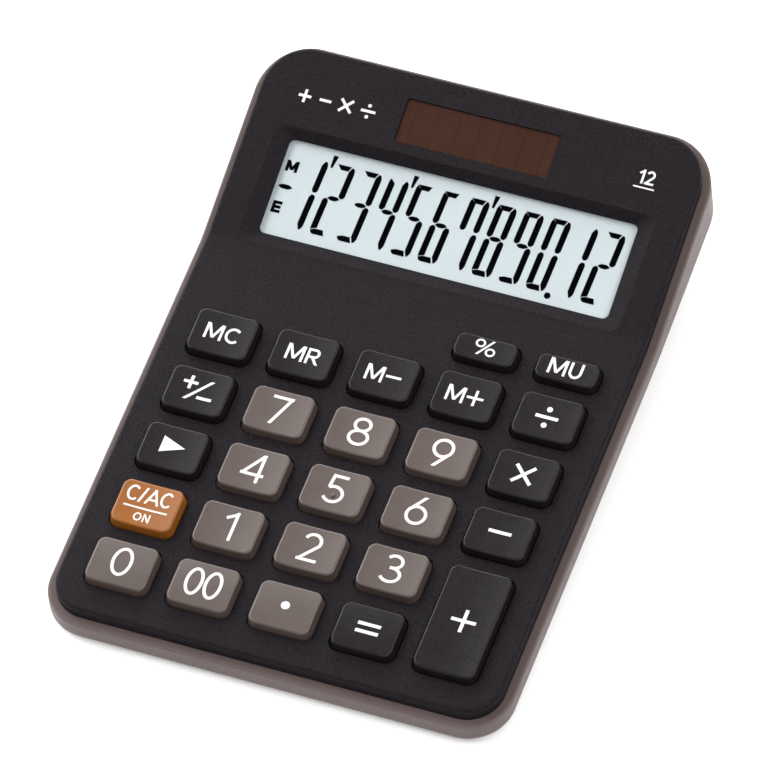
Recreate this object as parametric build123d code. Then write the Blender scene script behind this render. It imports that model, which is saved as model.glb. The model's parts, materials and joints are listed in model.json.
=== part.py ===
from build123d import *
from math import atan2, cos, degrees, radians, sin, tan
import os

# Desk calculator with a tilted display and twenty-six separate push keys.
#
# The model is in millimetres and stands on its rubber feet: X to the right, Y to the back, Z up, with
# the origin under the middle of the case. Two working planes do most of the placing: KEYPAD lies on
# the keypad face, starting at its front edge, and DISPLAY lies on the steeper face that carries the
# screen. On both, x is across, y runs up the slope and z stands out of the face.

# The whole calculator
WIDTH = 106.5
DEPTH = 147.5
HEIGHT = 31.0
KEYPAD_TILT = 4.6
DISPLAY_TILT = 16.95
BEND_AT = 98.22
BEND_RADIUS = 10.0

# The black upper case, standing on the rim of the lower one
RIM = 2.0
STEP = 3.1
FACE_EDGE = 0.8
PLATE = 1.5
CASE_WALL = 1.6
FRONT_CORNER = 10.1
BACK_CORNER = 12.1

# The lower case: an upright belt, with a hull below it that leans inwards
BELT = 4.7
BELT_BACK_TILT = 9.1
BELT_TOP_EDGE = 0.5
BELT_BOTTOM_EDGE = 1.0
BELT_INSET = 3.4
HULL_INSET = 2.0
HULL_LEAN = 18.0
HULL_WALL = 1.8
FLOOR = 1.5
FOOT_HEIGHT = 0.8

# The keys: the size of a key's top, and how its cap is shaped
COLUMN_PITCH = 18.87
ROW_PITCH = 15.19
FIRST_ROW = 12.39
SMALL_ROW = 85.62
KEY_WIDTH = 13.83
KEY_DEPTH = 10.69
SMALL_KEY_DEPTH = 5.9
KEY_CORNER = 1.8
KEY_PROUD = 2.2
KEY_SLOPE = 0.42
KEY_EDGE = 0.5
KEY_DISH = 0.34
FRONT_KEY_CROWN = 0.26
NUB_RADIUS = 0.5
NUB_FROM_MIDDLE = 1.4
KEY_SKIN = 1.1
KEY_GAP = 0.35
FLANGE_LIP = 0.6
FLANGE = 0.8
FLANGE_PLAY = 0.1
STEM_DIAMETER = 4.0
STEM_BELOW = 0.15

# The silicone sheet and the circuit board under the keys
DOME_BASE = 8.0
DOME_TOP = 4.6
DOME_HEIGHT = 1.5
DOME_WALL = 0.5
SHEET = 0.5
FIT = 0.02
BOARD = 1.0
BOARD_WIDTH = 87.6
BOARD_START = 4.12
BOARD_END = 95.12

# The screen, in its sloping recess
SCREEN_WIDTH = 81.6
SCREEN_DEPTH = 22.7
SCREEN_MIDDLE = 14.75
SCREEN_CORNER = 1.4
RECESS = 1.5
RECESS_RUN_SIDE = 3.65
RECESS_RUN_END = 2.65
RECESS_MOUTH_SHIFT = 0.3
RECESS_LAND = 0.15
LENS = 0.8
LENS_BORDER = 2.0
LENS_POCKET_WALL = 1.4
AIR_GAP = 0.1
POLARIZER = 0.2
GLASS = 0.7
GLASS_STEP = 2.5

# The solar panel
SOLAR_WIDTH = 35.9
SOLAR_DEPTH = 10.4
SOLAR_MIDDLE = 36.1
SOLAR_SUNK = 0.5
SOLAR_FLANGE = 1.6

# Fasteners, feet and the button cell
POST_DIAMETER = 5.2
POST_HOLE = 2.4
WELL_DIAMETER = 4.6
SCREW_THREAD = 2.2
SCREW_HEAD = 4.0
SCREW_HEAD_HEIGHT = 1.4
SCREW_LENGTH = 8.0
BOARD_SCREW_LENGTH = 3.2
FOOT_DIAMETER = 8.0
FOOT_POCKET = 0.6
CELL_DIAMETER = 11.6
CELL_HEIGHT = 5.4
CELL_PLACE = (-26.0, 46.0)
CONTACT = 0.3
WIRE = 1.0

FRONT_Y = RIM - DEPTH / 2
FACE_BACK = DEPTH / 2 - RIM
DISPLAY_LENGTH = (FACE_BACK - FRONT_Y - BEND_AT * cos(radians(KEYPAD_TILT))) / cos(radians(DISPLAY_TILT))
RISE = BEND_AT * sin(radians(KEYPAD_TILT)) + DISPLAY_LENGTH * sin(radians(DISPLAY_TILT))
# Rounding the back edge takes its sharp corner off, so the flat faces start a little higher.
ROUNDED_OFF = FACE_EDGE * (tan(radians(DISPLAY_TILT)) + 1 / cos(radians(DISPLAY_TILT)) - 1)
FRONT_Z = HEIGHT + ROUNDED_OFF - RISE


def sloped_plane(origin, tilt):
    """A plane that climbs towards the back at the given angle."""
    return Plane(origin=origin, x_dir=(1, 0, 0), z_dir=(0, -sin(radians(tilt)), cos(radians(tilt))))


KEYPAD = sloped_plane((0, FRONT_Y, FRONT_Z), KEYPAD_TILT)
BEND = KEYPAD.from_local_coords((0, BEND_AT, 0))
DISPLAY = sloped_plane(BEND, DISPLAY_TILT)


os.makedirs("parts", exist_ok=True)


def save(name, solid):
    solid.label = name
    export_step(solid, f"parts/{name}.step")


def block(width, depth, low, high, radius=0.0):
    """A flat block centred on the origin, from height low to height high, with rounded corners."""
    outline = RectangleRounded(width, depth, radius) if radius else Rectangle(width, depth)
    return extrude(Pos(0, 0, low) * outline, high - low)


def disc(diameter, low, high):
    """An upright disc, from height low to height high."""
    return extrude(Pos(0, 0, low) * Circle(diameter / 2), high - low)


# ---- Shapes shared by the two halves of the case

def plan(inset):
    """The rounded outline of the case seen from above, moved in by inset."""
    outline = Rectangle(WIDTH - 2 * inset, DEPTH - 2 * inset)
    corners = outline.vertices().group_by(Axis.Y)
    outline = fillet(corners[0], FRONT_CORNER - inset)
    corners = outline.vertices().group_by(Axis.Y)
    return fillet(corners[-1], BACK_CORNER - inset)


def column(inset):
    """The outline of the case as a tall upright column."""
    return extrude(Pos(0, 0, -10) * plan(inset), HEIGHT + 20)


def bend_under(drop, back_tilt):
    """Where a surface that lies drop below the keypad face turns up to its own tilt at the back."""
    half_turn = radians(back_tilt - KEYPAD_TILT) / 2
    lean = radians(KEYPAD_TILT) + half_turn
    return BEND + Vector(0, sin(lean), -cos(lean)) * (drop / cos(half_turn))


def under(drop, back_tilt=DISPLAY_TILT):
    """Everything below a bent surface that lies drop below the face, with its own tilt at the back."""
    front = KEYPAD.from_local_coords((0, -30, -drop))
    bend = bend_under(drop, back_tilt)
    reach = DISPLAY_LENGTH + 30
    back = bend + Vector(0, cos(radians(back_tilt)), sin(radians(back_tilt))) * reach
    corners = [(point.Y, point.Z) for point in (front, bend, back)]
    surface = FilletPolyline(*corners, radius=BEND_RADIUS + drop)
    ground = Polyline(corners[2], (corners[2][0], -60), (corners[0][0], -60), corners[0])
    return extrude(Plane.YZ * make_face([surface, ground]), WIDTH, both=True)


def rim_edges(solid, drop, back_tilt=DISPLAY_TILT):
    """The edges of a solid that run round the outside of the case along the bent surface at drop."""
    front_half = sloped_plane(KEYPAD.from_local_coords((0, 0, -drop)), KEYPAD_TILT)
    back_half = sloped_plane(bend_under(drop, back_tilt), back_tilt)
    chosen = []
    for edge in solid.edges():
        middle = edge @ 0.5
        height = min(front_half.to_local_coords(middle).Z, back_half.to_local_coords(middle).Z)
        crosses_the_face = abs((edge @ 0).X + (edge @ 1).X) < 0.01 and abs(middle.Y) < FACE_BACK - 5
        if abs(height) < 0.15 and not crosses_the_face:
            chosen.append(edge)
    return chosen


def face_height(y):
    """The height of the face above a point of the ground plan."""
    if y < BEND.Y:
        return FRONT_Z + (y - FRONT_Y) * tan(radians(KEYPAD_TILT))
    return BEND.Z + (y - BEND.Y) * tan(radians(DISPLAY_TILT))


# ---- The keys: name, column, row and size of each

KEYS = []


def add_key(name, column_number, row_up, depth=KEY_DEPTH):
    KEYS.append((name, (column_number - 2) * COLUMN_PITCH, row_up, depth))


ROWS = (
    ("key_0", "key_00", "key_decimal", "key_equals"),
    ("key_clear", "key_1", "key_2", "key_3"),
    ("key_shift", "key_4", "key_5", "key_6", "key_minus"),
    ("key_sign", "key_7", "key_8", "key_9", "key_multiply"),
    ("key_mc", "key_mr", "key_m_minus", "key_m_plus", "key_divide"),
)
for row_number, row in enumerate(ROWS):
    for column_number, key_name in enumerate(row):
        add_key(key_name, column_number, FIRST_ROW + row_number * ROW_PITCH)
add_key("key_plus", 4, FIRST_ROW + ROW_PITCH / 2, KEY_DEPTH + ROW_PITCH)
add_key("key_percent", 3, SMALL_ROW, SMALL_KEY_DEPTH)
add_key("key_markup", 4, SMALL_ROW, SMALL_KEY_DEPTH)

KEY_BOTTOM = PLATE + FLANGE_PLAY + FLANGE
STEM_END = KEY_BOTTOM + STEM_BELOW
SHEET_TOP = STEM_END + FIT + DOME_HEIGHT
SHEET_BOTTOM = SHEET_TOP + SHEET
BOARD_TOP = SHEET_BOTTOM + FIT
BOARD_BOTTOM = BOARD_TOP + BOARD


def key_outline(depth, grow):
    """The outline of a key's top, grown all round."""
    return RectangleRounded(KEY_WIDTH + 2 * grow, depth + 2 * grow, KEY_CORNER + grow)


def key_cap(name, depth):
    """A hollow cap with sloping sides, a flange to hold it in and a stem.

    Its top is slightly dished from side to side; on the front row it is crowned from front to back.
    """
    foot = key_outline(depth, KEY_SLOPE)
    cap = loft([foot, Pos(0, 0, KEY_PROUD) * key_outline(depth, 0)])
    if name in ROWS[0]:
        crown_radius = (depth / 2) ** 2 / (2 * FRONT_KEY_CROWN)
        cap &= Pos(0, 0, KEY_PROUD - crown_radius) * Rot(0, 90, 0) * Cylinder(crown_radius, 2 * KEY_WIDTH)
    else:
        dish_radius = (KEY_WIDTH / 2) ** 2 / (2 * KEY_DISH)
        dish_axis = KEY_PROUD - KEY_DISH + dish_radius
        cap -= Pos(0, 0, dish_axis) * Rot(90, 0, 0) * Cylinder(dish_radius, 2 * depth + 20)
    rim = [edge for edge in cap.edges() if (edge @ 0.5).Z > KEY_PROUD - KEY_DISH - 0.1]
    cap = fillet(rim, KEY_EDGE)
    if name == "key_5":
        cap += Pos(0, -NUB_FROM_MIDDLE, KEY_PROUD - KEY_DISH) * Sphere(NUB_RADIUS)
    cap += extrude(foot, -KEY_BOTTOM)
    cap += Pos(0, 0, -KEY_BOTTOM) * extrude(key_outline(depth, KEY_SLOPE + KEY_GAP + FLANGE_LIP), FLANGE)
    hollow = Pos(0, 0, -KEY_BOTTOM) * extrude(
        key_outline(depth, KEY_SLOPE - KEY_SKIN - 0.3), KEY_BOTTOM + KEY_PROUD - KEY_DISH - KEY_SKIN
    )
    cap -= hollow
    cap += disc(STEM_DIAMETER, -STEM_END, KEY_PROUD - KEY_DISH - KEY_SKIN + 0.2)
    return cap


for key_name, x, up, depth in KEYS:
    save(key_name, KEYPAD.location * Pos(x, up, 0) * key_cap(key_name, depth))


# ---- Where the screws go, and how the case halves meet on their posts

POSTS = ((45.2, 21.8), (42.0, 61.0))
JOINT_BELOW_FACE = 9.0
SCREW_GRIP = 2.5
BOARD_SCREWS = (-40.0, -17.0, 17.0, 40.0)
BOARD_SCREW_UP = 93.2
BOARD_POST = 4.4
BOARD_THREAD = 1.6
BASE = FOOT_HEIGHT
FEET = ((40.0, -61.0), (37.0, 52.0))
CELL_SEAT = BASE + FLOOR + CONTACT + 2 * FIT
HOOK_PLACES = (-26.0, 26.0)


def mirrored(places):
    """Each place on the right, and the same place on the left."""
    return [(side * x, y) for x, y in places for side in (1, -1)]


def on_display(x, up, out):
    return DISPLAY.from_local_coords((x, up, out))


def on_keypad(x, up, out):
    return KEYPAD.from_local_coords((x, up, out))


# ---- The black upper case

LENS_WIDTH = SCREEN_WIDTH + 2 * LENS_BORDER
LENS_DEPTH = SCREEN_DEPTH + 2 * LENS_BORDER
LENS_TOP = RECESS + RECESS_LAND
LENS_BOTTOM = LENS_TOP + LENS
POLARIZER_TOP = LENS_BOTTOM + AIR_GAP
FRONT_GLASS_TOP = POLARIZER_TOP + POLARIZER + FIT
REAR_GLASS_TOP = FRONT_GLASS_TOP + GLASS + FIT
REAR_FILM_TOP = REAR_GLASS_TOP + GLASS + FIT
HOLDER_TOP = REAR_FILM_TOP + POLARIZER + FIT
HOLDER = 1.0
POCKET_FIT = 0.1
PIN = 1.0
SOLAR_WINDOW_TOP = SOLAR_SUNK
SOLAR_FLANGE_THICKNESS = 0.6
SOLAR_CELL_TOP = PLATE + SOLAR_FLANGE_THICKNESS + FIT
SOLAR_CELL = 1.1


def at_screen(solid):
    """A solid drawn about the middle of the screen, moved onto the display face."""
    return DISPLAY.location * Pos(0, SCREEN_MIDDLE, 0) * solid


def at_solar(solid):
    """A solid drawn about the middle of the solar panel, moved onto the display face."""
    return DISPLAY.location * Pos(0, SOLAR_MIDDLE, 0) * solid


def screen_recess():
    """The sloping recess, drawn on past the face, and the straight opening at its foot."""
    slope_top = 0.6
    side = RECESS_RUN_SIDE * (1 + slope_top / RECESS)
    end = RECESS_RUN_END * (1 + slope_top / RECESS)
    foot = RectangleRounded(SCREEN_WIDTH, SCREEN_DEPTH, SCREEN_CORNER)
    mouth = RectangleRounded(SCREEN_WIDTH + 2 * side, SCREEN_DEPTH + 2 * end, SCREEN_CORNER + end / 2)
    shift = RECESS_MOUTH_SHIFT * (1 + slope_top / RECESS)
    slope = loft([Pos(0, 0, -RECESS) * foot, Pos(0, -shift, slope_top) * mouth])
    return slope + block(SCREEN_WIDTH, SCREEN_DEPTH, -LENS_TOP - 1, -RECESS, SCREEN_CORNER)


def holder_pins(diameter, low, high):
    """The four pins that carry the screen holder."""
    reach_x = LENS_WIDTH / 2 + LENS_POCKET_WALL / 2
    reach_y = LENS_DEPTH / 2 - 1.5
    pin = disc(diameter, low, high)
    return [Pos(x * reach_x, y * reach_y, 0) * pin for x in (-1, 1) for y in (-1, 1)]


def upper_posts(diameter, low_below_joint):
    """Posts from the face down to the joint height, for the case screws."""
    posts = []
    for x, y in mirrored(POSTS):
        joint = face_height(y) - JOINT_BELOW_FACE
        posts.append(Pos(x, y, 0) * disc(diameter, joint + low_below_joint, HEIGHT + 5))
    return posts


def make_upper_case():
    shell = (column(RIM) & under(0)) - under(STEP)
    shell = fillet(rim_edges(shell, 0), FACE_EDGE)
    shell -= column(RIM + CASE_WALL) & under(PLATE)

    lip = column(BELT_INSET + 0.15) - column(BELT_INSET + 1.35)
    shell += (lip & under(PLATE - 0.2)) - under(STEP + 1.8)

    pocket_wall = block(LENS_WIDTH + 2 * LENS_POCKET_WALL, LENS_DEPTH + 2 * LENS_POCKET_WALL,
                        -HOLDER_TOP, -PLATE + 0.2)
    pocket = block(LENS_WIDTH + POCKET_FIT, LENS_DEPTH + POCKET_FIT, -HOLDER_TOP - 1, -LENS_TOP)
    ribbon_way = block(RIBBON_WIDTH + 2, 8, -HOLDER_TOP - 1, -REAR_GLASS_TOP + 0.1)
    shell += at_screen(pocket_wall)
    shell -= at_screen(pocket)
    shell -= at_screen(screen_recess())
    shell -= at_screen(Pos(0, -LENS_DEPTH / 2 - 1, 0) * ribbon_way)
    for pin in holder_pins(PIN, -HOLDER_TOP - HOLDER - 0.3, -HOLDER_TOP + 0.5):
        shell += at_screen(pin)

    solar_flange_width = SOLAR_WIDTH + 2 * SOLAR_FLANGE + POCKET_FIT
    solar_flange_depth = SOLAR_DEPTH + 2 * SOLAR_FLANGE + POCKET_FIT
    solar_bottom = SOLAR_CELL_TOP + SOLAR_CELL
    shell += at_solar(block(solar_flange_width + 2, solar_flange_depth + 2, -solar_bottom, -PLATE + 0.2))
    shell -= at_solar(block(solar_flange_width, solar_flange_depth, -solar_bottom - 1, -PLATE))
    shell -= at_solar(block(SOLAR_WIDTH, SOLAR_DEPTH, -5, 2, 0.5))

    for post in upper_posts(POST_DIAMETER, 0):
        shell += post & under(PLATE - 0.2)
    for hole in upper_posts(SCREW_THREAD + FIT, -1):
        shell -= hole & under(PLATE)
    for x in BOARD_SCREWS:
        post = Pos(x, BOARD_SCREW_UP, 0) * disc(BOARD_POST, -BOARD_TOP + FIT, -PLATE + 0.2)
        hole = Pos(x, BOARD_SCREW_UP, 0) * disc(BOARD_THREAD + FIT, -BOARD_TOP - 1, -PLATE)
        shell += KEYPAD.location * post
        shell -= KEYPAD.location * hole

    for x in HOOK_PLACES:
        shell += KEYPAD.location * case_hook(x)
        shell += KEYPAD.location * board_hook(x)
    for key_name, x, up, depth in KEYS:
        opening = extrude(Pos(0, 0, -PLATE - 1) * key_outline(depth, KEY_SLOPE + KEY_GAP), PLATE + 2)
        shell -= KEYPAD.location * Pos(x, up, 0) * opening
    return shell


def case_hook(x, play=0.0):
    """The tongue at the front that holds the upper case down in a slot of the lower one."""
    front = BELT_INSET - RIM
    tongue = block(8 + 2 * play, 1.8 + 2 * play, -STEP - 1.7 - play, -STEP - 0.9 + play)
    return Pos(x, front, 0) * tongue


def board_hook(x):
    """A hook that carries the front edge of the circuit board."""
    lip_back = BELT_INSET + 1.35 - RIM
    bottom = BOARD_BOTTOM + 0.9
    upright_length = BOARD_START - 0.1 - lip_back + 0.3
    upright = Pos(x, lip_back - 0.3 + upright_length / 2, 0) * block(6, upright_length, -bottom, -STEP)
    toe_length = BOARD_START + 1.4 - lip_back
    toe = Pos(x, lip_back + toe_length / 2, 0) * block(6, toe_length, -bottom, -BOARD_BOTTOM - FIT)
    return upright + toe


# ---- The lower case

def hull(inset, base, above=0.0):
    """The part under the belt: its walls lean inwards as they go down to the flat base."""
    front = KEYPAD.from_local_coords((0, -RIM, -STEP - BELT))
    bend = bend_under(STEP + BELT, BELT_BACK_TILT)
    back_z = bend.Z + (DEPTH / 2 - bend.Y) * tan(radians(BELT_BACK_TILT))
    tilt = degrees(atan2(back_z - front.Z, DEPTH))
    top = sloped_plane((0, 0, (front.Z + back_z) / 2), tilt)
    walls = extrude(top * plan(inset), -HEIGHT, taper=HULL_LEAN)
    if above:
        walls += extrude(top * plan(inset), above)
    return walls & block(2 * WIDTH, 2 * DEPTH, base, HEIGHT + 10)


def make_lower_case():
    belt = (column(0) & under(STEP)) - under(STEP + BELT, BELT_BACK_TILT)
    belt = fillet(rim_edges(belt, STEP), BELT_TOP_EDGE)
    belt = fillet(rim_edges(belt, STEP + BELT, BELT_BACK_TILT), BELT_BOTTOM_EDGE)
    case = belt + hull(HULL_INSET, BASE)

    belt_room = (column(BELT_INSET) & under(-5)) - under(STEP + BELT - FLOOR, BELT_BACK_TILT)
    hull_room = hull(HULL_INSET + HULL_WALL, BASE + FLOOR, above=2)
    case -= belt_room + hull_room

    for x, y in mirrored(POSTS):
        joint = face_height(y) - JOINT_BELOW_FACE - FIT
        case += Pos(x, y, 0) * disc(WELL_DIAMETER + 2.4, BASE + 0.3, joint) & (belt + hull(HULL_INSET, BASE))
    for x, y in mirrored(POSTS):
        joint = face_height(y) - JOINT_BELOW_FACE - FIT
        case -= Pos(x, y, 0) * disc(WELL_DIAMETER, BASE - 1, joint - SCREW_GRIP)
        case -= Pos(x, y, 0) * disc(POST_HOLE, BASE - 1, joint + 1)
    for x, y in mirrored(FEET):
        case -= Pos(x, y, 0) * disc(FOOT_DIAMETER + POCKET_FIT, BASE - 1, BASE + FOOT_POCKET)
    for x in HOOK_PLACES:
        case -= KEYPAD.location * case_hook(x, 0.15)

    cup = disc(CELL_DIAMETER + 3, BASE + 1, BASE + 6) - disc(CELL_DIAMETER + 0.6, BASE, BASE + 7)
    cup -= block(7, 40, BASE + FLOOR, BASE + 7)
    case += Pos(*CELL_PLACE, 0) * cup
    label_hollow = block(56, 24, BASE - 1, BASE + 0.3, 2)
    case -= Pos(0, 12, 0) * label_hollow
    return case


# ---- Screen and solar panel

RIBBON_WIDTH = 26.0
RIBBON = 0.15


def save_screen():
    save("lcd_lens", at_screen(block(LENS_WIDTH, LENS_DEPTH, -LENS_BOTTOM, -LENS_TOP, 1)))
    gasket = block(LENS_WIDTH, LENS_DEPTH, -FRONT_GLASS_TOP + FIT, -LENS_BOTTOM)
    gasket -= block(SCREEN_WIDTH + 2, SCREEN_DEPTH + 2, -FRONT_GLASS_TOP - 1, -LENS_TOP)
    save("lcd_gasket", at_screen(gasket))
    film = (SCREEN_WIDTH + 1.6, SCREEN_DEPTH + 1.6)
    save("lcd_front_film", at_screen(block(*film, -POLARIZER_TOP - POLARIZER, -POLARIZER_TOP)))
    front_glass = block(LENS_WIDTH, LENS_DEPTH, -FRONT_GLASS_TOP - GLASS, -FRONT_GLASS_TOP)
    save("lcd_front_glass", at_screen(front_glass))
    rear_glass = block(LENS_WIDTH, LENS_DEPTH - GLASS_STEP, -REAR_GLASS_TOP - GLASS, -REAR_GLASS_TOP)
    save("lcd_rear_glass", at_screen(Pos(0, GLASS_STEP / 2, 0) * rear_glass))
    rear_film = block(film[0], LENS_DEPTH - GLASS_STEP - 1, -REAR_FILM_TOP - POLARIZER, -REAR_FILM_TOP)
    save("lcd_rear_film", at_screen(Pos(0, GLASS_STEP / 2, 0) * rear_film))

    outside = (LENS_WIDTH + 2 * LENS_POCKET_WALL, LENS_DEPTH + 2 * LENS_POCKET_WALL)
    holder = block(*outside, -HOLDER_TOP - HOLDER, -HOLDER_TOP, 1)
    holder -= block(LENS_WIDTH - 12, LENS_DEPTH - 11, -HOLDER_TOP - 2, -HOLDER_TOP + 1, 2)
    holder -= Pos(0, -LENS_DEPTH / 2, 0) * block(RIBBON_WIDTH + 2, 7, -HOLDER_TOP - 2, -HOLDER_TOP + 1)
    for hole in holder_pins(PIN + 2 * FIT, -HOLDER_TOP - 2, -HOLDER_TOP + 1):
        holder -= hole
    save("lcd_holder", at_screen(holder))

    ledge_up = SCREEN_MIDDLE - LENS_DEPTH / 2
    ledge = REAR_GLASS_TOP + RIBBON / 2
    board_side = BOARD_BOTTOM + FIT + RIBBON / 2
    route = [on_display(0, ledge_up + GLASS_STEP - 0.2, -ledge), on_display(0, ledge_up - 1, -ledge - 0.2),
             on_keypad(0, BOARD_END + 0.6, -board_side - 0.2), on_keypad(0, BOARD_END - 4, -board_side)]
    path = FilletPolyline(*[(point.Y, point.Z) for point in route], radius=0.3)
    strip = extrude(Plane.YZ * trace(path, RIBBON), RIBBON_WIDTH / 2, both=True)
    save("lcd_ribbon", strip)


def save_solar_panel():
    window = block(SOLAR_WIDTH - POCKET_FIT, SOLAR_DEPTH - POCKET_FIT, -PLATE, -SOLAR_WINDOW_TOP, 0.5)
    window += block(SOLAR_WIDTH + 2 * SOLAR_FLANGE, SOLAR_DEPTH + 2 * SOLAR_FLANGE,
                    -PLATE - SOLAR_FLANGE_THICKNESS, -PLATE)
    save("solar_window", at_solar(window))
    cell = block(SOLAR_WIDTH + 2, SOLAR_DEPTH + 2, -SOLAR_CELL_TOP - SOLAR_CELL, -SOLAR_CELL_TOP)
    save("solar_cell", at_solar(cell))


# ---- Under the keys: the silicone sheet, the circuit board and what is soldered to it

def rubber_dome():
    """A hollow dome that lifts one key, with its contact pill inside."""
    rise = DOME_HEIGHT
    outside = Cone(DOME_BASE / 2, DOME_TOP / 2, rise, align=(Align.CENTER, Align.CENTER, Align.MIN))
    inside = Cone(DOME_BASE / 2 - DOME_WALL, DOME_TOP / 2 - DOME_WALL / 2, rise - DOME_WALL,
                  align=(Align.CENTER, Align.CENTER, Align.MIN))
    pill = disc(2.8, rise - 2 * DOME_WALL - 0.05, rise - DOME_WALL / 2)
    return outside - inside + pill


def make_keypad_sheet():
    rows_end = SMALL_ROW + DOME_BASE / 2 + 1
    middle = (BOARD_START + 1.5 + rows_end) / 2
    length = rows_end - BOARD_START - 1.5
    sheet = Pos(0, middle, 0) * block(4 * COLUMN_PITCH + DOME_BASE + 2, length, -SHEET_BOTTOM, -SHEET_TOP, 2)
    for key_name, x, up, depth in KEYS:
        sheet -= Pos(x, up, 0) * disc(DOME_BASE - 2 * DOME_WALL, -SHEET_BOTTOM - 1, -SHEET_TOP + 1)
        sheet += Pos(x, up, -SHEET_TOP) * rubber_dome()
    return KEYPAD.location * sheet


def make_board():
    length = BOARD_END - BOARD_START
    board = Pos(0, BOARD_START + length / 2, 0) * block(BOARD_WIDTH, length, -BOARD_BOTTOM, -BOARD_TOP)
    for x in BOARD_SCREWS:
        board -= Pos(x, BOARD_SCREW_UP, 0) * disc(BOARD_THREAD + 0.3, -BOARD_BOTTOM - 1, -BOARD_TOP + 1)
    board = KEYPAD.location * board
    for notch in upper_posts(POST_DIAMETER + 0.6, 0):
        board -= notch
    return board


def under_board(x, up, solid):
    """A solid drawn hanging down from height zero, moved against the underside of the board."""
    return KEYPAD.location * Pos(x, up, -BOARD_BOTTOM - FIT) * solid


def save_components():
    blob = disc(14, -1.6, 0)
    blob = fillet(blob.faces().sort_by(Axis.Z)[0].edges(), 1.4)
    save("chip_cover", under_board(10, 58, blob))
    chip_capacitor = block(3.2, 1.6, -1.2, 0)
    capacitors = [under_board(x, up, chip_capacitor) for x, up in ((-6, 66), (-6, 50), (26, 66), (26, 50))]
    save("ceramic_capacitors", Compound(children=capacitors))
    can = disc(5, -6, -0.6) + disc(4.2, -0.7, 0)
    save("electrolytic_capacitor", under_board(-14, 76, can))


# ---- The button cell, its contacts and the wires

def save_cell():
    low = CELL_SEAT
    cell = disc(CELL_DIAMETER - 1, low, low + 0.8) + disc(CELL_DIAMETER, low + 0.8, low + CELL_HEIGHT)
    place = Pos(*CELL_PLACE, 0)
    save("button_cell", place * cell)
    minus = Pos(0, -4, 0) * block(6, 16, low - FIT - CONTACT, low - FIT)
    save("battery_contact_minus", place * minus)
    top = low + CELL_HEIGHT + FIT
    reach = CELL_DIAMETER / 2 + 3.2
    plus = Pos(0, (reach - 3) / 2, 0) * block(6, reach + 3, top, top + CONTACT)
    plus += Pos(0, reach - CONTACT / 2, 0) * block(6, CONTACT, BASE + FLOOR + FIT, top + CONTACT)
    save("battery_contact_plus", place * plus)


def wire(*points):
    """A round wire along straight runs with rounded turns."""
    route = FilletPolyline(*points, radius=1.2)
    start = Plane(origin=route @ 0, z_dir=route % 0)
    return sweep(start * Circle(WIRE / 2), route)


def solder_joint(x, up):
    """The last two points of a wire that rises straight to the underside of the board."""
    clear = -BOARD_BOTTOM - 0.15
    return on_keypad(x, up, clear - 3), on_keypad(x, up, clear)


def save_wires():
    x, y = CELL_PLACE
    low = CELL_SEAT + WIRE
    from_minus = wire((x, y - 10.5, low), (x, y - 15, low), *solder_joint(x + 2, 84))
    round_the_cell = (x - 1, y + 10, low), (x - 12, y + 10, low), (x - 12, y - 16, low)
    from_plus = wire(*round_the_cell, *solder_joint(x - 6, 84))
    save("battery_wires", Compound(children=[from_minus, from_plus]))

    under_cell = -SOLAR_CELL_TOP - SOLAR_CELL - 0.15
    solar_wires = []
    for x in (8, 11):
        solar_wires.append(wire(
            on_display(x, SOLAR_MIDDLE, under_cell), on_display(x, SOLAR_MIDDLE, under_cell - 8),
            on_display(x + 16, SOLAR_MIDDLE - 34, under_cell - 8), *solder_joint(x + 18, 84)))
    save("solar_wires", Compound(children=solar_wires))


# ---- Screws and feet

def screw(head, head_height, thread, length):
    """A pan-head screw pointing up, its head below height zero, with a cross slot."""
    body = disc(head, -head_height, 0)
    body = fillet(body.faces().sort_by(Axis.Z)[0].edges(), head_height / 3)
    body += disc(thread, -0.1, length)
    slot = block(head * 0.6, head * 0.14, -head_height - 1, -head_height * 0.45)
    return body - slot - Rot(0, 0, 90) * slot


def save_fasteners():
    case_screw = screw(SCREW_HEAD, SCREW_HEAD_HEIGHT, SCREW_THREAD, SCREW_LENGTH)
    case_screws = []
    for x, y in mirrored(POSTS):
        seat = face_height(y) - JOINT_BELOW_FACE - FIT - SCREW_GRIP
        case_screws.append(Pos(x, y, seat - FIT) * case_screw)
    save("case_screws", Compound(children=case_screws))
    board_screw = screw(3.0, 1.0, BOARD_THREAD, BOARD_SCREW_LENGTH)
    board_screws = [under_board(x, BOARD_SCREW_UP, board_screw) for x in BOARD_SCREWS]
    save("board_screws", Compound(children=board_screws))
    pad = disc(FOOT_DIAMETER, 0, BASE + FOOT_POCKET)
    pad = fillet(pad.faces().sort_by(Axis.Z)[0].edges(), 0.3)
    save("rubber_feet", Compound(children=[Pos(x, y, 0) * pad for x, y in mirrored(FEET)]))


save("upper_case", make_upper_case())
save("lower_case", make_lower_case())
save_screen()
save_solar_panel()
save("keypad_sheet", make_keypad_sheet())
save("circuit_board", make_board())
save_components()
save_cell()
save_wires()
save_fasteners()
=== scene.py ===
import json
from math import cos, pi, radians, sin

import bmesh
import bpy
from mathutils import Matrix, Vector
from mathutils.bvhtree import BVHTree


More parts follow.
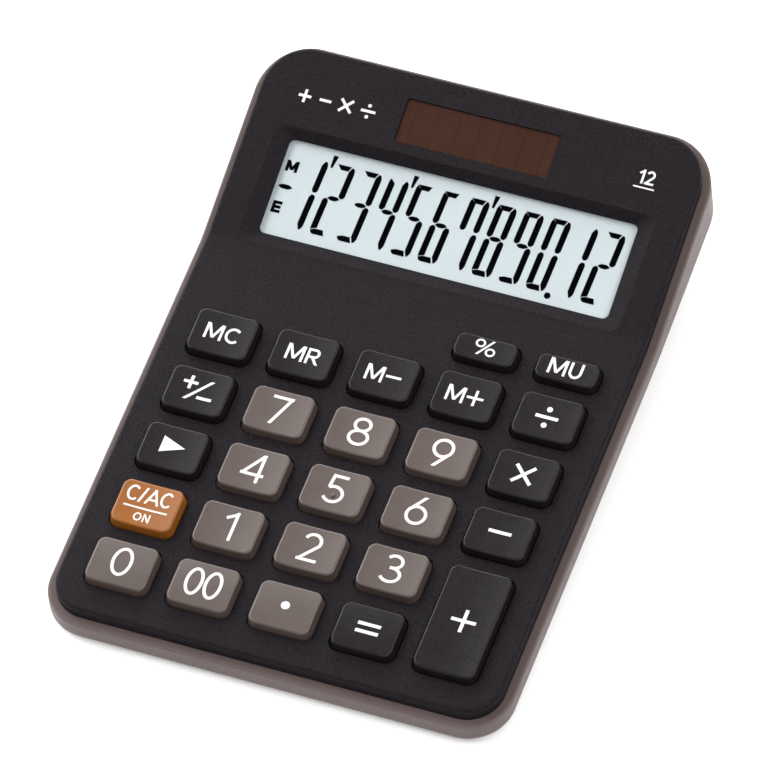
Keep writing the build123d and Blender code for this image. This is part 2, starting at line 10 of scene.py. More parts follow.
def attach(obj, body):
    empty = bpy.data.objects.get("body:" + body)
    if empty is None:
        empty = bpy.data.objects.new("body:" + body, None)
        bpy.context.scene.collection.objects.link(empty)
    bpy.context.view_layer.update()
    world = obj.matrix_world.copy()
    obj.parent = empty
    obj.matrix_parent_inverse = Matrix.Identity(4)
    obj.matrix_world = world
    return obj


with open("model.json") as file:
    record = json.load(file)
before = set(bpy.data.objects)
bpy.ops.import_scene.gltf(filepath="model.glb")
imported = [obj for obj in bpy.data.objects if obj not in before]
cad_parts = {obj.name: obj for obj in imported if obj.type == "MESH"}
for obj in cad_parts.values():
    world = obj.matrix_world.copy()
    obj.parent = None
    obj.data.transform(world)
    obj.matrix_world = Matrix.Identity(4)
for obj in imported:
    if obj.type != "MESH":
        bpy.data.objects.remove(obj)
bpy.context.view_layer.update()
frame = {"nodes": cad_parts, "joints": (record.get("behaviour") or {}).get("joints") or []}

# Looks of the desk calculator: materials, key legends, display segments, printed marks, floor, light
# and camera. Lengths along the two faces are in millimetres, all others in metres. Colours are linear.

MM = 0.001

# ---- The two sloping faces. On each, x is across, y runs up the slope and z stands out of it.

KEYPAD_OUT = -Vector(frame["joints"][0]["axis"]).normalized()
DISPLAY_TILT = radians(16.95)
DISPLAY_OUT = Vector((0, -sin(DISPLAY_TILT), cos(DISPLAY_TILT)))


def face_axes(out):
    across = Vector((1, 0, 0))
    return Matrix((across, out.cross(across), out)).transposed()


KEYPAD = face_axes(KEYPAD_OUT)
DISPLAY = face_axes(DISPLAY_OUT)


def extents(node, axes):
    """The lowest and highest corner of a CAD node, measured along a face's own axes, in millimetres."""
    inverse = axes.transposed()
    points = [inverse @ vertex.co / MM for vertex in frame["nodes"][node].data.vertices]
    low = Vector([min(point[i] for point in points) for i in range(3)])
    high = Vector([max(point[i] for point in points) for i in range(3)])
    return low, high


def centre_of(node, axes):
    low, high = extents(node, axes)
    return (low + high) / 2


# ---- Node-based materials. A noise scale is the number of features in a metre.

NOISE_LOW = 0.3
NOISE_HIGH = 0.7
BLOTCH_SCALE = 90
WEAR_SCALE = 260
GRAIN_SCALE = 2600
TINT_VARIATION = 0.04
GLOSS_VARIATION = 0.04
SOLAR_BANDS = 62.0


def new_material(name):
    material = bpy.data.materials.new(name)
    material.use_nodes = True
    tree = material.node_tree
    return material, tree, tree.nodes["Principled BSDF"]


def add_noise(tree, scale, detail=4.0, roughness=0.6, stretch=(1, 1, 1)):
    """Noise in object space, so that it stays with the surface."""
    place = tree.nodes.new("ShaderNodeTexCoord")
    mapping = tree.nodes.new("ShaderNodeMapping")
    mapping.inputs["Scale"].default_value = stretch
    noise = tree.nodes.new("ShaderNodeTexNoise")
    noise.inputs["Scale"].default_value = scale
    noise.inputs["Detail"].default_value = detail
    noise.inputs["Roughness"].default_value = roughness
    tree.links.new(place.outputs["Object"], mapping.inputs["Vector"])
    tree.links.new(mapping.outputs["Vector"], noise.inputs["Vector"])
    return noise.outputs["Fac"]


def add_ramp(tree, value, low, high, start=0.35, end=0.65):
    """A colour that goes from low to high as the value goes from start to end."""
    ramp = tree.nodes.new("ShaderNodeValToRGB")
    ramp.color_ramp.elements[0].position = start
    ramp.color_ramp.elements[0].color = low
    ramp.color_ramp.elements[1].position = end
    ramp.color_ramp.elements[1].color = high
    tree.links.new(value, ramp.inputs["Fac"])
    return ramp.outputs["Color"]


def add_range(tree, value, low, high):
    """Noise spread over a range of values."""
    mapped = tree.nodes.new("ShaderNodeMapRange")
    mapped.inputs["From Min"].default_value = NOISE_LOW
    mapped.inputs["From Max"].default_value = NOISE_HIGH
    mapped.inputs["To Min"].default_value = low
    mapped.inputs["To Max"].default_value = high
    tree.links.new(value, mapped.inputs["Value"])
    return mapped.outputs["Result"]


def add_bump(tree, shader, height, strength, distance):
    bump = tree.nodes.new("ShaderNodeBump")
    bump.inputs["Strength"].default_value = strength
    bump.inputs["Distance"].default_value = distance
    tree.links.new(height, bump.inputs["Height"])
    tree.links.new(bump.outputs["Normal"], shader.inputs["Normal"])


def shade(colour, factor):
    """A colour made lighter or darker, as a node's four numbers."""
    return (colour[0] * factor, colour[1] * factor, colour[2] * factor, 1)


def add_product(tree, first, second):
    """Two colours multiplied together."""
    mix = tree.nodes.new("ShaderNodeMix")
    mix.data_type = "RGBA"
    mix.blend_type = "MULTIPLY"
    mix.inputs["Factor"].default_value = 1.0
    tree.links.new(first, mix.inputs["A"])
    tree.links.new(second, mix.inputs["B"])
    return mix.outputs["Result"]


def moulded(
    name, colour, roughness, grain=0.25, grain_scale=GRAIN_SCALE, depth=0.00006, pit_shade=0.1, specular=0.5
):
    """Moulded plastic: a spark-eroded grain whose hollows are coloured darker as painted shade, and faint
    blotches in colour and in gloss.

    grain is the strength of the relief, depth its height, and pits how much painted shade darkens the grain's
    hollows.
    """
    material, tree, shader = new_material(name)
    blotches = add_noise(tree, BLOTCH_SCALE)
    tint = add_ramp(tree, blotches, shade(colour, 1 - TINT_VARIATION), shade(colour, 1 + TINT_VARIATION))
    grains = add_noise(tree, grain_scale, detail=2, roughness=0.5)
    # Painted shade: where the grain's bump is low, in its hollows, the colour is made darker.
    pit_shading = add_ramp(tree, grains, shade((1, 1, 1), 1 - pit_shade), (1, 1, 1, 1), 0.3, 0.55)
    tree.links.new(add_product(tree, tint, pit_shading), shader.inputs["Base Color"])
    wear = add_noise(tree, WEAR_SCALE, detail=6)
    gloss = add_range(tree, wear, roughness - GLOSS_VARIATION, roughness + GLOSS_VARIATION)
    tree.links.new(gloss, shader.inputs["Roughness"])
    shader.inputs["Specular IOR Level"].default_value = specular
    add_bump(tree, shader, grains, grain, depth)
    return material


def plain_insulator(name, colour, roughness, scale=600, grain=0.3):
    """Rubber, foam, epoxy, sleeves and other parts that hardly show."""
    return moulded(name, colour, roughness, grain=grain, grain_scale=scale)


def bare_metal(name, colour, roughness):
    """Plated metal with fine drawing lines along one direction."""
    material, tree, shader = new_material(name)
    shader.inputs["Metallic"].default_value = 1.0
    lines = add_noise(tree, 900, detail=5, stretch=(1, 14, 1))
    tint = add_ramp(tree, lines, shade(colour, 0.85), shade(colour, 1.1))
    tree.links.new(tint, shader.inputs["Base Color"])
    tree.links.new(add_range(tree, lines, roughness - 0.08, roughness + 0.1), shader.inputs["Roughness"])
    add_bump(tree, shader, lines, 0.2, 0.00002)
    return material


def clear_plastic(name, colour, alpha, roughness):
    """A thin clear sheet: mostly seen through, with a faint haze."""
    material, tree, shader = new_material(name)
    haze = add_noise(tree, 70)
    tree.links.new(add_ramp(tree, haze, shade(colour, 0.97), shade(colour, 1.0)), shader.inputs["Base Color"])
    tree.links.new(add_range(tree, haze, roughness, roughness + 0.05), shader.inputs["Roughness"])
    shader.inputs["Alpha"].default_value = alpha
    shader.inputs["Transmission Weight"].default_value = 1.0
    shader.inputs["IOR"].default_value = 1.49
    return material


def reflective_film(name, colour):
    """The pale film of the display: even, slightly pearly, with a very fine grain."""
    material, tree, shader = new_material(name)
    grains = add_noise(tree, GRAIN_SCALE, detail=3)
    tint = add_ramp(tree, grains, shade(colour, 0.975), shade(colour, 1.0))
    tree.links.new(tint, shader.inputs["Base Color"])
    tree.links.new(add_range(tree, grains, 0.42, 0.5), shader.inputs["Roughness"])
    shader.inputs["Specular IOR Level"].default_value = 0.13
    add_bump(tree, shader, grains, 0.05, 0.00002)
    return material


def amorphous_panel(name, colour):
    """The tinted window over the solar cell, with the cell's fine dividing lines just showing through."""
    material, tree, shader = new_material(name)
    place = tree.nodes.new("ShaderNodeTexCoord")
    bands = tree.nodes.new("ShaderNodeTexWave")
    bands.bands_direction = "X"
    bands.inputs["Scale"].default_value = SOLAR_BANDS
    bands.inputs["Distortion"].default_value = 0.0
    tree.links.new(place.outputs["Object"], bands.inputs["Vector"])
    cloud = add_noise(tree, 160)
    lines = add_ramp(tree, bands.outputs["Fac"], shade(colour, 0.82), shade(colour, 1.0), 0.0, 0.04)
    tint = add_ramp(tree, cloud, (0.93, 0.93, 0.93, 1), (1, 1, 1, 1))
    tree.links.new(add_product(tree, lines, tint), shader.inputs["Base Color"])
    tree.links.new(add_range(tree, cloud, 0.22, 0.3), shader.inputs["Roughness"])
    shader.inputs["Specular IOR Level"].default_value = 0.1
    return material


MATERIALS = {
    "case_black": moulded(
        "case_black", (0.011, 0.008, 0.0111), 0.5, grain=1.0, depth=0.0002, pit_shade=0.85, specular=0.102
    ),
    "case_taupe": moulded("case_taupe", (0.113, 0.083, 0.08), 0.42, grain=0.15, specular=0.35),
    "key_black": moulded(
        "key_black", (0.0118, 0.0089, 0.0119), 0.34, grain=0.6, depth=0.00008, pit_shade=0.6, specular=0.245
    ),
    "key_taupe": moulded("key_taupe", (0.079, 0.057, 0.05), 0.38, grain=0.2, specular=0.72),
    "key_orange": moulded("key_orange", (0.262, 0.085, 0.0095), 0.38, grain=0.2, specular=0.55),
    "clear_window": clear_plastic("clear_window", (0.95, 0.97, 0.98), 0.12, 0.03),
    "polarizer": reflective_film("polarizer", (0.507, 0.566, 0.586)),
    "display_glass": clear_plastic("display_glass", (0.8, 0.88, 0.86), 0.35, 0.05),
    "foam": plain_insulator("foam", (0.015, 0.015, 0.015), 0.8, scale=2400, grain=0.6),
    "ribbon": plain_insulator("ribbon", (0.35, 0.19, 0.05), 0.4),
    "solar_brown": amorphous_panel("solar_brown", (0.046, 0.0205, 0.014)),
    "silicone": plain_insulator("silicone", (0.55, 0.55, 0.53), 0.55),
    "board": plain_insulator("board", (0.24, 0.16, 0.06), 0.5),
    "epoxy": plain_insulator("epoxy", (0.01, 0.01, 0.01), 0.35),
    "ceramic": plain_insulator("ceramic", (0.45, 0.31, 0.19), 0.4),
    "capacitor_sleeve": plain_insulator("capacitor_sleeve", (0.01, 0.02, 0.06), 0.3),
    "steel": bare_metal("steel", (0.62, 0.61, 0.6), 0.3),
    "wire_sleeve": plain_insulator("wire_sleeve", (0.3, 0.02, 0.02), 0.4),
    "rubber": plain_insulator("rubber", (0.022, 0.022, 0.022), 0.75, scale=1800, grain=0.5),
}
PRINT = moulded("white_print", (0.74, 0.71, 0.68), 0.5, grain=0.05, pit_shade=0.02, specular=0.2)
SEGMENT = moulded("display_segment", (0.0004, 0.0005, 0.0016), 0.5, grain=0.03, specular=0.01)


def dress_cad_nodes():
    """Give every CAD node the full material for the slot that its packed material is named after."""
    for node in frame["nodes"].values():
        for slot in node.material_slots:
            slot.material = MATERIALS[slot.material.name.split(".")[0]]


dress_cad_nodes()

# ---- Printed figures, built as thin closed solids that follow the surface under them.
# A figure stands LIFT above the surface and reaches BURIED below it. Each stroke that crosses others
# stands STAGGER higher than the one before, so that no two tops share a plane.

LIFT = 0.022
BURIED = 0.05
STAGGER = 0.004
STATION = 0.45
ARC_STEP = 12.0


def arc(middle_x, middle_y, radius_x, radius_y, start, end):
    """Points along part of an ellipse, in degrees anticlockwise from the right."""
    count = max(2, int(abs(end - start) / ARC_STEP))
    angles = [radians(start + (end - start) * i / count) for i in range(count + 1)]
    return [(middle_x + radius_x * cos(a), middle_y + radius_y * sin(a)) for a in angles]


def line(*points, caps=(True, True)):
    return {"kind": "line", "points": points, "caps": caps}


def slant(start, end):
    """A straight sloping stroke whose ends are cut level."""
    return {"kind": "slant", "points": (start, end)}


def ring(middle_x, middle_y, radius_x, radius_y):
    return {"kind": "ring", "points": arc(middle_x, middle_y, radius_x, radius_y, 0, 360)[:-1]}


def dot(middle_x, middle_y, radius):
    return {"kind": "dot", "points": ((middle_x, middle_y),), "radius": radius}


# Each glyph: its width for a height of 1, and its strokes, whose centre lines fill a unit square.
GLYPHS = {
    "0": (0.66, [ring(0.5, 0.5, 0.5, 0.5)]),
    "1": (0.38, [line((1, 0), (1, 1)), line((0.05, 0.8), (0.9, 0.96), caps=(True, False))]),
    "2": (0.64, [
        line(*arc(0.5, 0.715, 0.47, 0.285, 160, -24), (0.08, 0.03), caps=(False, False)),
        line((0, 0), (1, 0)),
    ]),
    "3": (0.65, [
        line(*arc(0.46, 0.765, 0.44, 0.235, 150, -90), (0.3, 0.53), caps=(False, False)),
        line(*arc(0.45, 0.265, 0.55, 0.265, 88, -152), caps=(False, False)),
    ]),
    "4": (0.74, [
        line((0.82, 0), (0.82, 1)),
        line((0, 0.25), (1, 0.25)),
        slant((0.78, 1), (0.06, 0.28)),
    ]),
    "5": (0.63, [
        line((0.93, 1), (0.17, 1), (0.09, 0.53), caps=(True, False)),
        line(*arc(0.44, 0.297, 0.56, 0.297, 128, -150), caps=(False, False)),
    ]),
    "6": (0.69, [ring(0.5, 0.324, 0.5, 0.324), slant((0.66, 1), (0.09, 0.5))]),
    "7": (0.66, [line((0, 1), (1, 1)), slant((0.97, 1), (0.27, 0))]),
    "8": (0.69, [ring(0.5, 0.765, 0.41, 0.235), ring(0.5, 0.265, 0.5, 0.265)]),
    "9": (0.69, [ring(0.5, 0.676, 0.5, 0.324), slant((0.34, 0), (0.91, 0.5))]),
    "A": (1.02, [slant((0.5, 1), (0, 0)), slant((0.5, 1), (1, 0)), line((0.2, 0.28), (0.8, 0.28))]),
    "C": (0.9, [line(*arc(0.52, 0.5, 0.52, 0.5, 44, 316), caps=(False, False))]),
    "E": (0.74, [line((1, 1), (0, 1), (0, 0), (1, 0)), line((0, 0.5), (0.92, 0.5))]),
    "M": (1.02, [
        line((0, 0), (0, 1)),
        line((1, 0), (1, 1)),
        slant((0.08, 1), (0.5, 0.03)),
        slant((0.92, 1), (0.5, 0.03)),
    ]),
    "N": (0.86, [line((0, 0), (0, 1)), line((1, 0), (1, 1)), slant((0.08, 1), (0.92, 0))]),
    "O": (1.02, [ring(0.5, 0.5, 0.5, 0.5)]),
    "R": (0.76, [
        line((0, 0), (0, 1)),
        line((0, 1), *arc(0.6, 0.73, 0.36, 0.27, 90, -90), (0, 0.46), caps=(True, False)),
        slant((0.44, 0.46), (0.94, 0)),
    ]),
    "U": (0.76, [line((0, 1), *arc(0.5, 0.4, 0.5, 0.4, 180, 360), (1, 1))]),
    "%": (1.26, [ring(0.2, 0.76, 0.2, 0.24), ring(0.8, 0.24, 0.2, 0.24), slant((0.78, 1), (0.22, 0))]),
    "/": (0.46, [slant((1, 1), (0, 0))]),
    "-": (0.88, [line((0, 0.5), (1, 0.5))]),
    "+": (0.95, [line((0, 0.5), (1, 0.5)), line((0.5, 0), (0.5, 1))]),
    "x": (0.98, [line((0, 0), (1, 1)), line((0, 1), (1, 0))]),
    "=": (1.8, [line((0, 0), (1, 0)), line((0, 1), (1, 1))]),
    ":-": (1.1, [line((0, 0.5), (1, 0.5)), dot(0.5, 0.93, 0.137), dot(0.5, 0.07, 0.137)]),
}


def cross_ways(points, half, closed):
    """The vector from each point of a line to its left edge, longer at corners to keep edges parallel."""
    count = len(points)
    ways = []
    for i, point in enumerate(points):
        before = points[i - 1] if closed or i > 0 else point
        after = points[(i + 1) % count] if closed or i < count - 1 else point
        arriving = (point - before).normalized() if point != before else (after - point).normalized()
        leaving = (after - point).normalized() if after != point else arriving
        left_before = Vector((-arriving.y, arriving.x))
        left_after = Vector((-leaving.y, leaving.x))
        middle = (left_before + left_after).normalized()
        ways.append(middle * half / max(middle.dot(left_before), 0.4))
    return ways


def subdivide(points, ways, closed):
    """The same strip with a station at least every STATION millimetres, to follow a curved surface."""
    count = len(points)
    stations = []
    for i in range(count if closed else count - 1):
        following = (i + 1) % count
        steps = max(1, int((points[following] - points[i]).length / STATION + 0.999))
        for step in range(steps):
            part = step / steps
            stations.append((points[i].lerp(points[following], part), ways[i].lerp(ways[following], part)))
    if not closed:
        stations.append((points[-1], ways[-1]))
    return stations


def stroke_stations(stroke, left, bottom, width, height, weight):
    """The stations of one stroke of a glyph whose ink fills the given box."""
    half = weight / 2
    inner_width = width - weight
    inner_height = height - weight
    points = [
        Vector((left + half + x * inner_width, bottom + half + y * inner_height)) for x, y in stroke["points"]
    ]
    if stroke["kind"] == "slant":
        way = (points[1] - points[0]).normalized()
        reach = way * half / abs(way.y)
        for end, (_, y) in enumerate(stroke["points"]):
            if y in (0, 1):
                points[end] = points[end] + (reach if end else -reach)
        across = Vector((half / abs(way.y), 0)) * (1 if way.y < 0 else -1)
        return subdivide(points, [across, across], False), False
    closed = stroke["kind"] == "ring"
    if not closed:
        if stroke["caps"][0]:
            points[0] = points[0] + (points[0] - points[1]).normalized() * half
        if stroke["caps"][1]:
            points[-1] = points[-1] + (points[-1] - points[-2]).normalized() * half
    return subdivide(points, cross_ways(points, half, closed), closed), closed


class Print:
    """One printed piece: strokes, dots and filled shapes gathered into a mesh on one face of the object."""

    def __init__(self, axes, height_at):
        self.axes = axes
        self.height_at = height_at
        self.mesh = bmesh.new()
        self.layers = 0

    def vertex(self, x, y, rise):
        return self.mesh.verts.new(self.axes @ Vector((x, y, self.height_at(x, y) + rise)) * MM)

    def next_rise(self):
        rise = LIFT + self.layers * STAGGER
        self.layers += 1
        return rise

    def strip(self, stations, closed):
        rise = self.next_rise()
        rows = []
        for point, way in stations:
            left = point + way
            right = point - way
            rows.append([
                self.vertex(*left, rise),
                self.vertex(*right, rise),
                self.vertex(*right, -BURIED),
                self.vertex(*left, -BURIED),
            ])
        for i in range(len(rows) if closed else len(rows) - 1):
            here, there = rows[i], rows[(i + 1) % len(rows)]
            for side in range(4):
                after = (side + 1) % 4
                self.mesh.faces.new((here[side], here[after], there[after], there[side]))
        if not closed:
            self.mesh.faces.new(rows[0])
            self.mesh.faces.new(rows[-1])

    def shape(self, outline):
        """A filled shape with a small outline, given by its corners."""
        rise = self.next_rise()
        top = [self.vertex(x, y, rise) for x, y in outline]
        base = [self.vertex(x, y, -BURIED) for x, y in outline]
        self.mesh.faces.new(top)
        self.mesh.faces.new(base)
        for i in range(len(outline)):
            after = (i + 1) % len(outline)
            self.mesh.faces.new((top[i], base[i], base[after], top[after]))

    def dot(self, x, y, radius):
        self.shape(arc(x, y, radius, radius, 0, 360)[:-1])

    def glyph(self, name, left, bottom, width, height, weight):
        for stroke in GLYPHS[name][1]:
            if stroke["kind"] == "dot":
                x, y = stroke["points"][0]
                self.dot(left + x * width, bottom + y * height, stroke["radius"] * height)
            else:
                self.strip(*stroke_stations(stroke, left, bottom, width, height, weight))

    def word(self, names, middle_x, middle_y, height, weight, gap=0.35, stretch=1.0):
        """Glyphs side by side, centred on a point."""
        widths = [GLYPHS[name][0] * height * stretch for name in names]
        left = middle_x - (sum(widths) + gap * (len(names) - 1)) / 2
        for name, width in zip(names, widths):
            self.glyph(name, left, middle_y - height / 2, width, height, weight)
            left += width + gap

    def finish(self, name, body, material):
        bmesh.ops.recalc_face_normals(self.mesh, faces=self.mesh.faces)
        data = bpy.data.meshes.new(name)
        self.mesh.to_mesh(data)
        self.mesh.free()
        data.materials.append(material)
        piece = bpy.data.objects.new(name, data)
        bpy.context.scene.collection.objects.link(piece)
        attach(piece, body)


def height_on(node, axes):
    """A function that gives how high a CAD node's surface stands at a point of a face, in millimetres."""
    mesh = frame["nodes"][node].data
    vertices = [vertex.co for vertex in mesh.vertices]
    tree = BVHTree.FromPolygons(vertices, [polygon.vertices for polygon in mesh.polygons])
    out = axes.col[2].normalized()
    top = extents(node, axes)[1].z + 1

    def height(x, y):
        hit = tree.ray_cast(axes @ Vector((x, y, top)) * MM, -out)
        return (axes.transposed() @ hit[0]).z / MM

    return height


# ---- Key legends: what each key says, and where, from the middle of the key

DIGIT_HEIGHT = 7.2
DIGIT_WEIGHT = 0.72
DIGIT_RISE = 0.32
LETTER_HEIGHT = 4.0
LETTER_WEIGHT = 0.6
SIGN_WEIGHT = 0.8


def digit(text):
    def draw(ink, x, y):
        ink.word(text, x, y + DIGIT_RISE, DIGIT_HEIGHT, DIGIT_WEIGHT)
    return draw


def double_zero(ink, x, y):
    ink.word("00", x, y + 0.3, 7.0, DIGIT_WEIGHT, gap=0.25, stretch=0.88)


def decimal_point(ink, x, y):
    ink.dot(x, y + 0.25, 1.0)


def letters(*names, shift=0.0, rise=0.1, weight=LETTER_WEIGHT):
    def draw(ink, x, y):
        ink.word(names, x + shift, y + rise, LETTER_HEIGHT, weight, gap=0.55)
    return draw


def sign(name, width, height, shift=0.0, rise=0.0):
    def draw(ink, x, y):
        ink.glyph(name, x + shift - width / 2, y + rise - height / 2, width, height, SIGN_WEIGHT)
    return draw


def plus_minus(ink, x, y):
    weight = 0.72
    ink.glyph("+", x - 3.9, y + 0.05, 3.35, 3.35, weight)
    ink.glyph("/", x - 2.4, y - 2.6, 5.0, 5.5, 0.62)
    ink.glyph("-", x + 0.25, y - 2.05, 3.45, weight, weight)


def solid_arrow(ink, x, y):
    ink.shape([(x - 2.75, y - 1.65), (x + 2.75, y + 0.42), (x - 2.75, y + 2.5)])


def clear_all(ink, x, y):
    ink.word(("C", "/", "A", "C"), x - 0.15, y + 2.25, 3.9, 0.5, gap=0.1, stretch=0.8)
    ink.glyph("-", x - 5.15, y - 1.27, 10.1, 0.42, 0.42)
    ink.word("ON", x - 0.15, y - 3.2, 2.05, 0.34, gap=0.35, stretch=0.88)


LEGENDS = {
    "key_0": digit("0"),
    "key_00": double_zero,
    "key_decimal": decimal_point,
    "key_equals": sign("=", 5.2, 2.7, 0.15, -0.05),
    "key_clear": clear_all,
    "key_1": digit("1"),
    "key_2": digit("2"),
    "key_3": digit("3"),
    "key_plus": sign("+", 5.6, 5.6, 0.15, 0.1),
    "key_shift": solid_arrow,
    "key_4": digit("4"),
    "key_5": digit("5"),
    "key_6": digit("6"),
    "key_minus": sign("-", 5.2, SIGN_WEIGHT, 0.05, 0.25),
    "key_sign": plus_minus,
    "key_7": digit("7"),
    "key_8": digit("8"),
    "key_9": digit("9"),
    "key_multiply": sign("x", 4.6, 4.6, -0.1, 0.15),
    "key_mc": letters("M", "C"),
    "key_mr": letters("M", "R", shift=-0.1),
    "key_m_minus": letters("M", "-", shift=-0.2),
    "key_m_plus": letters("M", "+", shift=-0.2),
    "key_divide": sign(":-", 5.2, 4.75, -0.2, 0.0),
    "key_percent": letters("%", shift=-0.2, rise=0.45, weight=0.46),
    "key_markup": letters("M", "U", shift=-0.45, rise=0.35),
}


def print_legends():
    for key, draw in LEGENDS.items():
        ink = Print(KEYPAD, height_on(key, KEYPAD))
        middle = centre_of(key, KEYPAD)
        draw(ink, middle.x, middle.y)
        ink.finish(f"legend_{key}", key, PRINT)


print_legends()

# ---- The display: seven-segment digits, group marks, a point and three indicators

DIGIT_PITCH = 6.33
FIRST_DIGIT = -33.656
DIGIT_MIDDLE = 0.453
LEAN = 0.065
INDICATOR_LEFT = -40.146
INDICATOR_WEIGHT = 0.74
DASH_MIDDLE = -38.696
DASH_STRETCH = 1.2
READOUT = "123456789012"
LIT = {
    "0": "abcdef", "1": "bc", "2": "abged", "3": "abgcd", "4": "fgbc",
    "5": "afgcd", "6": "afgedc", "7": "fabc", "8": "abcdefg", "9": "abfgcd",
}
SEGMENTS = {
    "a": [(-2.12, 8.15), (-1.0, 6.94), (0.7, 6.94), (1.2, 8.15)],
    "b": [(0.88, 0.95), (1.25, 0.38), (1.9, 0.35), (2.33, 0.9), (2.33, 6.6), (2.12, 7.5), (1.75, 7.95),
          (1.42, 8.0), (0.88, 6.95)],
    "c": [(0.88, -0.85), (0.88, -7.4), (1.55, -8.85), (1.95, -8.65), (2.33, -7.8), (2.33, -0.75),
          (1.95, -0.2), (1.3, -0.18)],
    "d": [(-2.2, -8.0), (-1.1, -7.62), (0.7, -7.62), (1.25, -8.97), (-1.45, -8.97), (-1.95, -8.62)],
    "e": [(-2.33, -0.75), (-2.33, -7.9), (-0.88, -7.45), (-0.88, -0.85), (-1.3, -0.18), (-1.95, -0.2)],
    "f": [(-0.88, 0.95), (-0.88, 6.85), (-2.05, 7.95), (-2.33, 7.2), (-2.33, 0.9), (-1.9, 0.35),
          (-1.25, 0.38)],
    "g": [(-1.42, 0.06), (-0.95, 0.44), (-0.5, 0.6), (0.5, 0.6), (0.95, 0.44), (1.42, 0.06), (0.95, -0.31),
          (0.5, -0.5), (-0.5, -0.5), (-0.95, -0.31)],
}
GROUP_MARK = [(-0.6, 1.5), (0.6, 1.45), (-0.05, -1.5), (-0.55, -1.45)]
GROUP_MARKS_AFTER = (0, 3, 6)
GROUP_MARK_ACROSS = 3.82
GROUP_MARK_UP = 8.35
POINT_AFTER = 9
POINT_ACROSS = 2.69
POINT_DOWN = 9.5
POINT_RADIUS = 0.76


def draw_readout():
    ink = Print(DISPLAY, height_on("lcd_front_film", DISPLAY))
    middle_y = centre_of("lcd_front_film", DISPLAY).y + DIGIT_MIDDLE
    for place, figure in enumerate(READOUT):
        middle_x = FIRST_DIGIT + place * DIGIT_PITCH
        for name in LIT[figure]:
            # Segments don't cross, so they all stand at the same height.
            ink.layers = 0
            ink.shape([(middle_x + x + LEAN * y, middle_y + y) for x, y in SEGMENTS[name]])
    for place in GROUP_MARKS_AFTER:
        middle_x = FIRST_DIGIT + place * DIGIT_PITCH + GROUP_MARK_ACROSS
        ink.shape([(middle_x + x, middle_y + GROUP_MARK_UP + y) for x, y in GROUP_MARK])
    point_x = FIRST_DIGIT + POINT_AFTER * DIGIT_PITCH + POINT_ACROSS
    ink.dot(point_x, middle_y - POINT_DOWN, POINT_RADIUS)
    ink.finish("display_digits", "case", SEGMENT)


def draw_indicators():
    ink = Print(DISPLAY, height_on("lcd_front_film", DISPLAY))
    middle_y = centre_of("lcd_front_film", DISPLAY).y + DIGIT_MIDDLE
    ink.glyph("M", INDICATOR_LEFT, middle_y + 3.7, 2.85, 2.65, INDICATOR_WEIGHT)
    ink.glyph("E", INDICATOR_LEFT, middle_y - 6.3, 2.15, 2.8, INDICATOR_WEIGHT)
    ink.shape([(DASH_MIDDLE + x * DASH_STRETCH, middle_y + y) for x, y in SEGMENTS["g"]])
    ink.finish("display_indicators", "case", SEGMENT)


draw_readout()
draw_indicators()

# ---- Plain printed marks on the display face: the four operations, and the number of digits

OPERATIONS_MIDDLE = -33.0
COUNT_MIDDLE = 39.4
COUNT_LINE = 4.8
COUNT_LINE_WEIGHT = 0.34


def print_face_marks():
    solar = centre_of("solar_window", DISPLAY)
    ink = Print(DISPLAY, height_on("upper_case", DISPLAY))
    ink.word(("+", "-", "x", ":-"), OPERATIONS_MIDDLE, solar.y - 0.1, 3.1, 0.62, gap=2.0)
    ink.finish("printed_operations", "case", PRINT)
    ink = Print(DISPLAY, height_on("upper_case", DISPLAY))
    ink.word("12", COUNT_MIDDLE, solar.y + 0.6, 3.3, 0.5, gap=0.35)
    line_left = COUNT_MIDDLE - COUNT_LINE / 2
    ink.glyph("-", line_left, solar.y - 2.1, COUNT_LINE, COUNT_LINE_WEIGHT, COUNT_LINE_WEIGHT)
    ink.finish("printed_digit_count", "case", PRINT)


print_face_marks()

# ---- Floor, light and camera

FLOOR_SIZE = 6.0
FLOOR_LOW = (0.92, 0.92, 0.92, 1)
FLOOR_HIGH = (0.94, 0.94, 0.94, 1)
FLOOR_GLOW = 0.2


def add_floor():
    """A plain pale floor that gives off a little light of its own, so that it stays white near the object."""
    material, tree, shader = new_material("floor_pale")
    grains = add_noise(tree, 8)
    tree.links.new(add_ramp(tree, grains, FLOOR_LOW, FLOOR_HIGH), shader.inputs["Base Color"])
    shader.inputs["Roughness"].default_value = 0.9
    shader.inputs["Specular IOR Level"].default_value = 0.1
    shader.inputs["Emission Color"].default_value = (1, 1, 1, 1)
    shader.inputs["Emission Strength"].default_value = FLOOR_GLOW
    mesh = bmesh.new()
    bmesh.ops.create_grid(mesh, x_segments=1, y_segments=1, size=FLOOR_SIZE / 2)
    data = bpy.data.meshes.new("floor")
    mesh.to_mesh(data)
    mesh.free()
    data.materials.append(material)
    floor = bpy.data.objects.new("floor", data)
    bpy.context.scene.collection.objects.link(floor)


LIGHT_DISTANCE = 1.6
WORLD_LOW = (0.35, 0.35, 0.35, 1)
WORLD_HIGH = (0.06, 0.06, 0.06, 1)


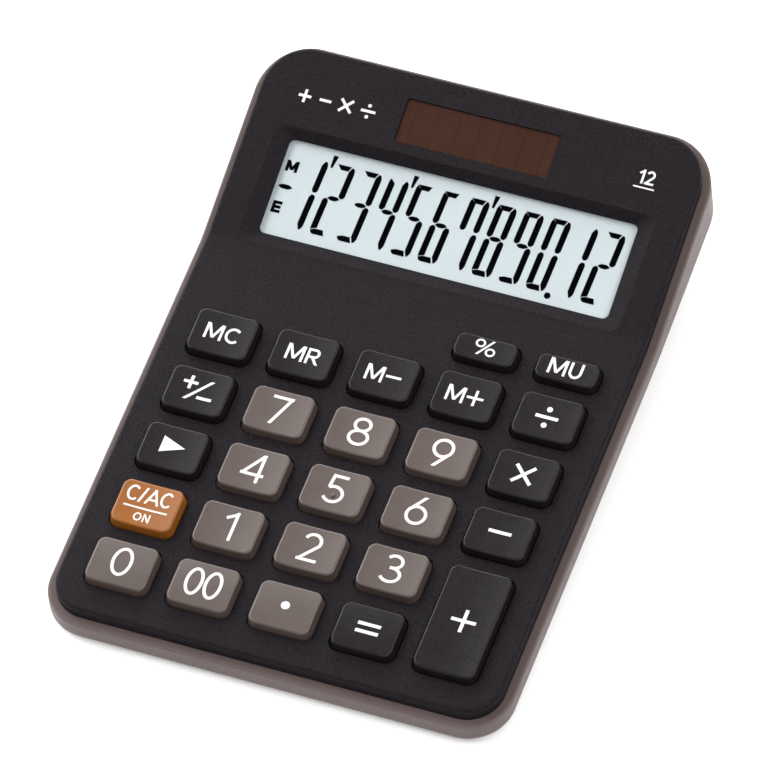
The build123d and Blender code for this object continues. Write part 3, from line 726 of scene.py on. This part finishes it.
def add_softbox(name, azimuth, elevation, width, height, brightness):
    """A wide soft light that faces the object: azimuth from the back towards the right, in degrees."""
    level = cos(radians(elevation))
    way = Vector((sin(radians(azimuth)) * level, cos(radians(azimuth)) * level, sin(radians(elevation))))
    light = bpy.data.lights.new(name, "AREA")
    light.shape = "RECTANGLE"
    light.size = width
    light.size_y = height
    light.energy = pi * width * height * brightness
    lamp = bpy.data.objects.new(name, light)
    lamp.location = way * LIGHT_DISTANCE
    lamp.rotation_euler = way.to_track_quat("Z", "Y").to_euler()
    bpy.context.scene.collection.objects.link(lamp)


def add_world():
    """A dim studio, a little lighter near the floor than overhead."""
    world = bpy.data.worlds.new("studio")
    world.use_nodes = True
    tree = world.node_tree
    place = tree.nodes.new("ShaderNodeTexCoord")
    parts = tree.nodes.new("ShaderNodeSeparateXYZ")
    tree.links.new(place.outputs["Generated"], parts.inputs["Vector"])
    dimming = add_ramp(tree, parts.outputs["Z"], WORLD_LOW, WORLD_HIGH, 0.0, 0.7)
    tree.links.new(dimming, tree.nodes["Background"].inputs["Color"])
    bpy.context.scene.world = world


CAMERA_PLACE = Vector((0.513994, -0.997716, 1.504811))
CAMERA_TARGET = Vector((0.000055, 0.000578, 0.014441))
CAMERA_ROLL = radians(-7.91)
CAMERA_ANGLE = radians(5.1175)


def add_camera():
    """A long lens from the front right, rolled a little about its own axis."""
    data = bpy.data.cameras.new("camera")
    data.angle = CAMERA_ANGLE
    data.clip_start = 0.01
    data.clip_end = 20
    camera = bpy.data.objects.new("camera", data)
    ahead = (CAMERA_TARGET - CAMERA_PLACE).normalized()
    right = ahead.cross(Vector((0, 0, 1))).normalized()
    up = right.cross(ahead)
    tilted_right = right * cos(CAMERA_ROLL) + up * sin(CAMERA_ROLL)
    tilted_up = up * cos(CAMERA_ROLL) - right * sin(CAMERA_ROLL)
    turn = Matrix((tilted_right, tilted_up, -ahead)).transposed()
    camera.matrix_world = Matrix.Translation(CAMERA_PLACE) @ turn.to_4x4()
    bpy.context.scene.collection.objects.link(camera)
    bpy.context.scene.camera = camera


add_floor()
add_world()
add_softbox("light_left", -90, 45, 1.75, 0.85, 5.2)
add_softbox("light_right", 90, 50, 1.75, 1.1, 3.1)
add_softbox("light_low_back", -33, 15, 2.5, 0.84, 4.9)
add_softbox("light_front", 155, 58, 1.2, 0.8, 2.4)
add_softbox("light_back", 0, 45, 1.75, 0.85, 1.8)
add_camera()
bpy.context.scene.view_settings.view_transform = "Standard"
